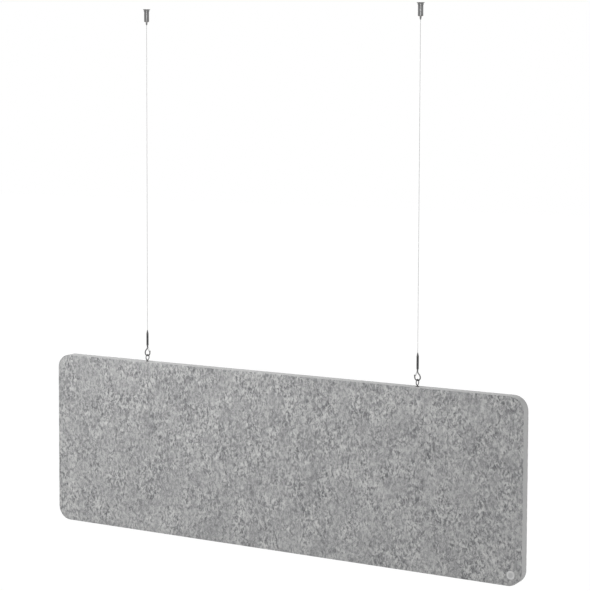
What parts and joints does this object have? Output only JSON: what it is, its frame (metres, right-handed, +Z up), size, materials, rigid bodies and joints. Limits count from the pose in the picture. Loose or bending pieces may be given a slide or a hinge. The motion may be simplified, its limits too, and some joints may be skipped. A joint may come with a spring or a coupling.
{
  "type": "hanging acoustic panel",
  "caption": "Flat felt-covered sound absorber with rounded corners, hung from the ceiling on thin steel wires with swivelling wire grippers and spring-gated hooks.",
  "frame": {"origin": "on the ceiling plane, midway between the two ceiling fixings", "axes": "+X along the panel towards the badge's end, +Y through the thickness away from the front face, +Z up"},
  "size_m": [1.2, 0.0282, 1.218],
  "materials": {
    "felt": "matte",
    "edge_felt": "matte",
    "timber": "matte",
    "fleece": "matte",
    "badge_rim": "satin",
    "badge_face": "matte",
    "brass": "satin",
    "bright_steel": "satin",
    "chrome": "polished",
    "liner_plastic": "matte",
    "spring_steel": "satin",
    "wire_steel": "satin",
    "dark_sleeve": "satin"
  },
  "bodies": {
    "ceiling_fixings": {"ceiling_cap_left": "chrome", "ceiling_cap_right": "chrome", "ball_stud_left": "bright_steel", "ball_stud_right": "bright_steel"},
    "swivel_liners": {"ball_liner_left": "liner_plastic", "ball_liner_right": "liner_plastic"},
    "line_left": {"barrel_left": "chrome", "spring_seat_left": "spring_steel", "grip_spring_left": "spring_steel", "cone_body_left": "brass", "end_ring_left": "chrome"},
    "release_left": {"release_nozzle_left": "chrome", "ball_cage_left": "brass", "grip_balls_left": "bright_steel"},
    "wire_left": {"wire_left": "wire_steel", "wire_nipple_left": "brass", "sleeve_left": "dark_sleeve", "clevis_left": "dark_sleeve", "hook_pin_left": "bright_steel"},
    "hook_left": {"hook_left": "bright_steel"},
    "gate_left": {"gate_left": "bright_steel"},
    "line_right": {"barrel_right": "chrome", "spring_seat_right": "spring_steel", "grip_spring_right": "spring_steel", "cone_body_right": "brass", "end_ring_right": "chrome"},
    "release_right": {"release_nozzle_right": "chrome", "ball_cage_right": "brass", "grip_balls_right": "bright_steel"},
    "wire_right": {"wire_right": "wire_steel", "wire_nipple_right": "brass", "sleeve_right": "dark_sleeve", "clevis_right": "dark_sleeve", "hook_pin_right": "bright_steel"},
    "hook_right": {"hook_right": "bright_steel"},
    "gate_right": {"gate_right": "bright_steel"},
    "panel": {"front_felt": "felt", "rear_felt": "felt", "edge_band": "edge_felt", "top_rail": "timber", "bottom_rail": "timber", "left_stile": "timber", "right_stile": "timber", "centre_brace": "timber", "corner_block_bottom_left": "timber", "corner_block_bottom_right": "timber", "corner_block_top_left": "timber", "corner_block_top_right": "timber", "frame_dowels": "timber", "core_pad_left": "fleece", "core_pad_right": "fleece", "badge_disc": "badge_rim", "badge_inlay": "badge_face", "insert_left": "brass", "insert_right": "brass", "eye_left": "bright_steel", "eye_right": "bright_steel"}
  },
  "joints": [
    {"name": "swing_fore_aft", "type": "hinge", "parent": "ceiling_fixings", "child": "swivel_liners", "pos_m": [0, 0, -0.008], "axis": [1, 0, 0], "range_deg": [-12, 12]},
    {"name": "sway_left", "type": "hinge", "parent": "swivel_liners", "child": "line_left", "pos_m": [-0.35, 0, -0.008], "axis": [0, 1, 0], "range_deg": [-8, 8]},
    {"name": "release_left", "type": "slide", "parent": "line_left", "child": "release_left", "axis": [0, 0, 1], "range_m": [0, 0.0014], "stiffness_N_per_m": 500, "springref_m": -0.002, "deforming": ["grip_spring_left"]},
    {"name": "wire_height_left", "type": "slide", "parent": "line_left", "child": "wire_left", "axis": [0, 0, 1], "range_m": [0, 0.006]},
    {"name": "hook_pivot_left", "type": "hinge", "parent": "wire_left", "child": "hook_left", "pos_m": [-0.35, 0, -0.77753], "axis": [0, 1, 0], "range_deg": [-8, 8]},
    {"name": "gate_hinge_left", "type": "hinge", "parent": "hook_left", "child": "gate_left", "pos_m": [-0.35, 0, -0.78253], "axis": [0, 1, 0], "range_deg": [0, 25], "stiffness_Nm_per_rad": 0.002, "springref_deg": -11.46},
    {"name": "sway_right", "type": "hinge", "parent": "swivel_liners", "child": "line_right", "pos_m": [0.35, 0, -0.008], "axis": [0, 1, 0], "range_deg": [-8, 8]},
    {"name": "release_right", "type": "slide", "parent": "line_right", "child": "release_right", "axis": [0, 0, 1], "range_m": [0, 0.0014], "stiffness_N_per_m": 500, "springref_m": -0.002, "deforming": ["grip_spring_right"]},
    {"name": "wire_height_right", "type": "slide", "parent": "line_right", "child": "wire_right", "axis": [0, 0, 1], "range_m": [0, 0.006]},
    {"name": "hook_pivot_right", "type": "hinge", "parent": "wire_right", "child": "hook_right", "pos_m": [0.35, 0, -0.77753], "axis": [0, 1, 0], "range_deg": [-8, 8]},
    {"name": "gate_hinge_right", "type": "hinge", "parent": "hook_right", "child": "gate_right", "pos_m": [0.35, 0, -0.78253], "axis": [0, -1, 0], "range_deg": [0, 25], "stiffness_Nm_per_rad": 0.002, "springref_deg": -11.46},
    {"name": "panel_tilt", "type": "hinge", "parent": "hook_left", "child": "panel", "pos_m": [-0.35, 0, -0.8083], "axis": [1, 0, 0], "range_deg": [-25, 25]}
  ],
  "couplings": [
    {"joint": "sway_right", "follows": "sway_left", "ratio": 1},
    {"joint": "hook_pivot_left", "follows": "sway_left", "ratio": -1},
    {"joint": "hook_pivot_right", "follows": "sway_left", "ratio": -1},
    {"joint": "wire_height_right", "follows": "wire_height_left", "ratio": 1}
  ]
}
